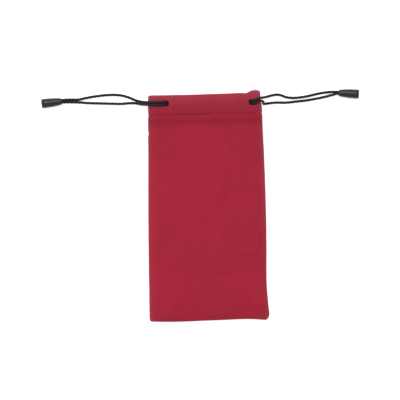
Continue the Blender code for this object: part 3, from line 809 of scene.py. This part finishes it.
class DRAWSTRING_OT_make_stage(Operator):
    """Make the white table, the soft studio light and the camera"""
    bl_idname = "drawstring.make_stage"
    bl_label = "Make Stage"

    def execute(self, context):
        settings = context.scene.pouch_stage
        self.make_camera(context, settings)
        self.make_floor(settings)
        self.make_light(context, settings)
        return {"FINISHED"}

    def make_camera(self, context, settings):
        data = bpy.data.cameras.new("camera")
        data.lens = settings.lens
        camera = link("camera", data)
        x, y = on_photo(PHOTO_PIXELS / 2, PHOTO_PIXELS / 2)
        distance = PHOTO_PIXELS * METRES_PER_PIXEL * data.lens / data.sensor_width
        camera.location = (x, y, distance)
        camera.rotation_euler = (0.0, 0.0, -PHOTO_TURN)
        data.clip_end = 20.0
        context.scene.camera = camera

    def make_floor(self, settings):
        half = 3.0
        mesh = mesh_of("table", [(-half, -half, 0), (half, -half, 0), (half, half, 0), (-half, half, 0)],
                       [(0, 1, 2, 3)], smooth=False)
        floor = link("table", mesh)
        material = new_material("table_white", {
            "Roughness": 0.9, "Specular IOR Level": 0.0, "Base Color": settings.floor,
            "Emission Color": WHITE})
        tree = material.node_tree
        rays = add_node(tree, "ShaderNodeLightPath")
        seen = add_node(tree, "ShaderNodeMath", operation="MAXIMUM")
        through = add_node(tree, "ShaderNodeMath", operation="MAXIMUM")
        glow = add_node(tree, "ShaderNodeMath", {1: settings.backdrop}, operation="MULTIPLY")
        wire(tree,
             (rays, "Is Camera Ray", seen, 0),
             (rays, "Is Glossy Ray", seen, 1),
             (seen, 0, through, 0),
             (rays, "Is Transmission Ray", through, 1),
             (through, 0, glow, 0),
             (glow, 0, shader_of(material), "Emission Strength"))
        floor.data.materials.append(material)

    def make_light(self, context, settings):
        world = bpy.data.worlds.new("white_room")
        world.use_nodes = True
        tree = world.node_tree
        background = tree.nodes["Background"]
        background.inputs["Color"].default_value = WHITE
        rays = add_node(tree, "ShaderNodeLightPath")
        seen = add_node(tree, "ShaderNodeMix", {MIX_FROM: settings.sky, MIX_TO: 1.0}, data_type="FLOAT")
        wire(tree,
             (rays, "Is Camera Ray", seen, MIX_SHARE),
             (seen, MIX_RESULT, background, "Strength"))
        context.scene.world = world
        data = bpy.data.lights.new("soft_box", "AREA")
        data.shape = "RECTANGLE"
        data.size = 1.0
        data.size_y = 0.7
        data.energy = settings.key
        lamp = link("soft_box", data)
        lamp.location = (-0.12, 0.55, 0.95)
        lamp.rotation_euler = (-Vector(lamp.location)).to_track_quat("-Z", "Y").to_euler()
        context.scene.view_settings.view_transform = "Standard"


class DRAWSTRING_OT_make_cords(Operator):
    """Make both laid drawcords, each with the knot that ties its two ends"""
    bl_idname = "drawstring.make_cords"
    bl_label = "Make Drawcords"

    def execute(self, context):
        settings = context.scene.pouch_cords
        material = cord_material(settings)
        radius = settings.diameter / 2 + settings.nap
        for side, facts in SIDES.items():
            path = smooth_curve(facts["route"], CORD_STEP)
            name = f"{side}_cord"
            cord = link(name, laid_tube(name, path, radius, settings.lay, settings.relief))
            knot = self.make_knot(side, facts, settings)
            dress(knot, material, "drawcord")
            dress(cord, material, "drawcord", f"{side}_drawcord")
        return {"FINISHED"}

    def make_knot(self, side, facts, settings):
        """One tight overhand knot in both strands, with two short tails towards the bell's mouth."""
        way = mouth_way(facts["heading"])
        middle = Vector(facts["neck"]) + way * KNOT_FROM_NECK
        turn = way.to_track_quat("Z", "Y")
        radius = settings.diameter / 2 * KNOT_SQUEEZE
        reach = KNOT_RADIUS - radius
        loop = []
        for t in np.linspace(0, 2 * math.pi, 90):
            x = math.sin(t) + 2 * math.sin(2 * t)
            y = math.cos(t) - 2 * math.cos(2 * t)
            rise = -math.sin(3 * t) * KNOT_FLATNESS * reach
            loop.append(middle + turn @ Vector((x * reach / 3, y * reach / 3, rise)))
        strands = [loop]
        for lean in (-1, 1):
            strands.append([middle + turn @ Vector((
                lean * 0.45 * MM + lean * 0.5 * MM * t, lean * 0.3 * MM * t, 0.6 * MM + TAIL_LENGTH * t))
                for t in np.linspace(0, 1, 18)])
        name = f"{side}_knot"
        return link(name, tubes(name, strands, radius, settings.lay, settings.relief, 18))


def mouth_way(heading):
    """The way from a cord end's neck to its wide mouth."""
    flat = math.cos(BELL_RISE)
    return Vector((flat * math.cos(heading), flat * math.sin(heading), math.sin(BELL_RISE)))


class DRAWSTRING_OT_make_cord_ends(Operator):
    """Make both bell-shaped plastic cord ends"""
    bl_idname = "drawstring.make_cord_ends"
    bl_label = "Make Cord Ends"

    def execute(self, context):
        settings = context.scene.pouch_cord_ends
        material = plastic_material(settings)
        for side, facts in SIDES.items():
            name = f"{side}_bell"
            shape = bmesh.new()
            corners = [shape.verts.new((radius, 0.0, -height))
                       for height, radius in self.profile(settings)]
            for here, after in zip(corners, corners[1:] + corners[:1]):
                shape.edges.new((here, after))
            mesh = bpy.data.meshes.new(name)
            shape.to_mesh(mesh)
            shape.free()
            bell = link(name, mesh)
            turned = bell.modifiers.new("turned", "SCREW")
            turned.steps = 72
            turned.render_steps = 72
            turned.use_merge_vertices = True
            turned.merge_threshold = 0.001 * MM
            settle(bell)
            turn = (-mouth_way(facts["heading"])).to_track_quat("Z", "Y")
            bell.data.transform(turn.to_matrix().to_4x4())
            bell.data.transform(Matrix.Translation(facts["neck"]))
            bell.data.shade_smooth()
            dress(bell, material, "cord_end", f"{side}_cord_end")
        return {"FINISHED"}

    def profile(self, s):
        """(distance from the neck, radius) down the outside and back up the inside."""
        edge = 0.3 * MM
        outside = []
        for angle in np.linspace(90, 0, 5):
            turn = math.radians(angle)
            outside.append((edge * (1 - math.sin(turn)), s.neck - edge * (1 - math.cos(turn))))
        groove = s.length - 1.5 * MM
        for share in np.linspace(0.06, 1, 22):
            swell = (1 - (1 - share) ** 2.2) ** 0.92
            outside.append((share * groove, s.neck + (s.mouth - 0.03 * MM - s.neck) * swell))
        outside += [(groove + 0.08 * MM, s.mouth - 0.22 * MM), (groove + 0.30 * MM, s.mouth - 0.25 * MM),
                    (groove + 0.42 * MM, s.mouth - 0.20 * MM), (groove + 0.46 * MM, s.mouth - 0.05 * MM)]
        for angle in np.linspace(20, 160, 9):
            turn = math.radians(angle)
            outside.append((s.length - 0.55 * MM - 0.55 * MM * math.cos(turn),
                            s.mouth - 0.25 * MM + 0.25 * MM * math.sin(turn)))
        inside = [(s.length - 0.06 * MM, s.mouth - 0.52 * MM), (s.length - 0.5 * MM, s.mouth - s.wall),
                  (s.length * 0.75, s.mouth - s.wall - 0.12 * MM), (8 * MM, 2.85 * MM),
                  (5 * MM, s.bore + 0.35 * MM), (3.6 * MM, s.bore + 0.12 * MM), (3 * MM, s.bore),
                  (0.25 * MM, s.bore), (0.06 * MM, s.bore + 0.04 * MM)]
        return outside + inside


class DRAWSTRING_OT_make_pouch(Operator):
    """Make the cloth pouch with its hem, turned-in flap, seams and slots"""
    bl_idname = "drawstring.make_pouch"
    bl_label = "Make Cloth Pouch"

    def execute(self, context):
        settings = context.scene.pouch_cloth
        shape = PouchShape(settings)
        pouch = link("pouch_cloth", cloth_mesh(shape))
        wall = pouch.modifiers.new("cloth", "SOLIDIFY")
        wall.thickness = settings.cloth
        wall.offset = 0.0
        wall.use_even_offset = True
        wall_z = POUCH_HIGH.z - settings.cloth / 2
        cutters = [slot_cutter(f"{side}_cut", (*facts["slot"], wall_z), facts["slot_length"])
                   for side, facts in SIDES.items()]
        for cutter in cutters:
            cut = pouch.modifiers.new(cutter.name, "BOOLEAN")
            cut.object = cutter
        settle(pouch)
        for cutter in cutters:
            bpy.data.objects.remove(cutter, do_unlink=True)
        pouch.data.shade_smooth()
        tint_cloth(pouch.data, shape)
        dress(pouch, cloth_material(settings), "pouch_cloth", "pouch_body")
        return {"FINISHED"}


def set_inputs(modifier, values):
    """Sets a Geometry Nodes modifier's inputs by their sockets' identifiers."""
    for item in modifier.node_group.interface.items_tree:
        if item.item_type == "SOCKET" and item.in_out == "INPUT" and item.name in values:
            modifier[item.identifier] = values[item.name]


def stitch_tree():
    """Stitches along a line: evenly spaced, each a little uneven, half sunk in the cloth."""
    tree = bpy.data.node_groups.new("stitch_row", "GeometryNodeTree")
    add_input(tree, "Line", "NodeSocketGeometry")
    add_input(tree, "Pitch", "NodeSocketFloat", 4.4 * MM, 0.0)
    add_input(tree, "Length", "NodeSocketFloat", 3.0 * MM, 0.0)
    add_input(tree, "Thread", "NodeSocketFloat", 0.4 * MM, 0.0)
    add_input(tree, "Seed", "NodeSocketInt", 4)
    add_input(tree, "Material", "NodeSocketMaterial")
    add_output(tree, "Stitches", "NodeSocketGeometry")
    given = add_node(tree, "NodeGroupInput")
    made = add_node(tree, "NodeGroupOutput")
    line = add_node(tree, "GeometryNodeMeshToCurve")
    spaced = add_node(tree, "GeometryNodeResampleCurve", mode="LENGTH")
    bead = add_node(tree, "GeometryNodeMeshUVSphere", {"Segments": 10, "Rings": 8, "Radius": 0.5})
    size = add_node(tree, "ShaderNodeCombineXYZ")
    shaped = add_node(tree, "GeometryNodeTransform")
    along = add_node(tree, "GeometryNodeInputTangent")
    heading = add_node(tree, "FunctionNodeAlignRotationToVector", axis="X")
    placed = add_node(tree, "GeometryNodeInstanceOnPoints")
    uneven = add_node(tree, "FunctionNodeRandomValue", {0: (0.86, 0.85, 0.85), 1: (1.1, 1.1, 1.1)},
                      data_type="FLOAT_VECTOR")
    skew = add_node(tree, "FunctionNodeRandomValue", {0: (0.0, -0.05, -0.09), 1: (0.0, 0.05, 0.09)},
                    data_type="FLOAT_VECTOR")
    leaning = add_node(tree, "GeometryNodeRotateInstances")
    real = add_node(tree, "GeometryNodeRealizeInstances")
    smooth = add_node(tree, "GeometryNodeSetShadeSmooth")
    finish = add_node(tree, "GeometryNodeSetMaterial")
    wire(tree,
         (given, "Line", line, "Mesh"),
         (line, "Curve", spaced, "Curve"),
         (given, "Pitch", spaced, "Length"),
         (given, "Length", size, "X"),
         (given, "Thread", size, "Y"),
         (given, "Thread", size, "Z"),
         (bead, "Mesh", shaped, "Geometry"),
         (size, "Vector", shaped, "Scale"),
         (along, "Tangent", heading, "Vector"),
         (spaced, "Curve", placed, "Points"),
         (shaped, "Geometry", placed, "Instance"),
         (heading, "Rotation", placed, "Rotation"),
         (given, "Seed", uneven, "Seed"),
         (uneven, 0, placed, "Scale"),
         (given, "Seed", skew, "Seed"),
         (placed, "Instances", leaning, "Instances"),
         (skew, 0, leaning, "Rotation"),
         (leaning, "Instances", real, "Geometry"),
         (real, "Geometry", smooth, "Geometry"),
         (smooth, "Geometry", finish, "Geometry"),
         (given, "Material", finish, "Material"),
         (finish, "Geometry", made, "Stitches"))
    return tree


class DRAWSTRING_OT_make_stitches(Operator):
    """Make the row of stitches that holds the hem, on the outside and the inside"""
    bl_idname = "drawstring.make_stitches"
    bl_label = "Make Stitches"

    def execute(self, context):
        settings = context.scene.pouch_stitches
        shape = PouchShape(context.scene.pouch_cloth)
        cloth = context.scene.pouch_cloth.cloth
        material = thread_material(settings)
        tree = stitch_tree()
        inner = shape.inner_gap(shape.stitch_y)
        for name, inset in (("hem_stitches_outside", SUNK_OUTSIDE - cloth / 2),
                            ("hem_stitches_inside", SUNK_INSIDE + inner + cloth / 2)):
            row = link(name, self.line(name, shape, inset))
            modifier = row.modifiers.new("stitch_row", "NODES")
            modifier.node_group = tree
            set_inputs(modifier, {
                "Pitch": settings.pitch, "Length": settings.length, "Thread": settings.thread,
                "Seed": settings.seed, "Material": material})
            settle(row)
            dress(row, material, "stitching")
        return {"FINISHED"}

    def line(self, name, shape, inset):
        """The closed line that the row follows, in the face of the cloth."""
        x, z, _, _ = shape.ring(shape.stitch_y, inset)
        count = len(x)
        mesh = bpy.data.meshes.new(name)
        edges = [(i, (i + 1) % count) for i in range(count)]
        mesh.from_pydata([(a, shape.stitch_y, b) for a, b in zip(x, z)], edges, [])
        mesh.update()
        return mesh


class DRAWSTRING_OT_make_fibres(Operator):
    """Make the frayed fibres at the mouth's right corner"""
    bl_idname = "drawstring.make_fibres"
    bl_label = "Make Frayed Fibres"

    def execute(self, context):
        settings = context.scene.pouch_fibres
        chance = random.Random(settings.seed)
        paths = []
        for _ in range(settings.count):
            root = Vector((chance.uniform(*FIBRE_X) * MM, FIBRE_Y * MM, chance.uniform(*FIBRE_Z) * MM))
            reach = settings.length * chance.uniform(0.55, 1.0)
            lean = chance.uniform(-0.7, 0.7)
            lift = chance.uniform(-0.2, 0.35)
            curl = chance.uniform(-0.5, 0.5)
            paths.append([root + Vector((lean * t + curl * t * t, t * (1 - 0.3 * t), lift * t)) * reach
                          for t in np.linspace(0, 1, 9)])
        mesh = tubes("corner_fibres", paths, settings.thickness / 2, 10 * MM, 0.0, 6)
        tint_cloth(mesh, PouchShape(context.scene.pouch_cloth))
        tuft = link("corner_fibres", mesh)
        dress(tuft, bpy.data.materials["brushed_cloth"], "pouch_cloth")
        return {"FINISHED"}


class DRAWSTRING_PT_pouch(Panel):
    """Lists the steps that make the pouch"""
    bl_idname = "DRAWSTRING_PT_pouch"
    bl_label = "Drawstring Pouch"
    bl_space_type = "VIEW_3D"
    bl_region_type = "UI"
    bl_category = "Pouch"

    def draw(self, context):
        layout = self.layout
        for operator, settings, _ in STEPS:
            layout.operator(operator)
            group = getattr(context.scene, settings)
            for name in group.bl_rna.properties.keys():
                if name not in ("rna_type", "name"):
                    layout.prop(group, name)


STEPS = (
    ("drawstring.make_stage", "pouch_stage", StageSettings),
    ("drawstring.make_cord_ends", "pouch_cord_ends", CordEndSettings),
    ("drawstring.make_cords", "pouch_cords", CordSettings),
    ("drawstring.make_pouch", "pouch_cloth", PouchClothSettings),
    ("drawstring.make_stitches", "pouch_stitches", StitchSettings),
    ("drawstring.make_fibres", "pouch_fibres", FibreSettings),
)
CLASSES = tuple(group for _, _, group in STEPS) + (
    DRAWSTRING_OT_make_stage,
    DRAWSTRING_OT_make_cords,
    DRAWSTRING_OT_make_cord_ends,
    DRAWSTRING_OT_make_pouch,
    DRAWSTRING_OT_make_stitches,
    DRAWSTRING_OT_make_fibres,
    DRAWSTRING_PT_pouch,
)


def register():
    for item in CLASSES:
        bpy.utils.register_class(item)
    for _, name, group in STEPS:
        setattr(bpy.types.Scene, name, PointerProperty(type=group))


def unregister():
    for _, name, _ in STEPS:
        delattr(bpy.types.Scene, name)
    for item in reversed(CLASSES):
        bpy.utils.unregister_class(item)


def main():
    register()
    bpy.ops.drawstring.make_stage()
    bpy.ops.drawstring.make_cord_ends()
    bpy.ops.drawstring.make_cords()
    bpy.ops.drawstring.make_pouch()
    bpy.ops.drawstring.make_stitches()
    bpy.ops.drawstring.make_fibres()


if __name__ == "__main__":
    main()
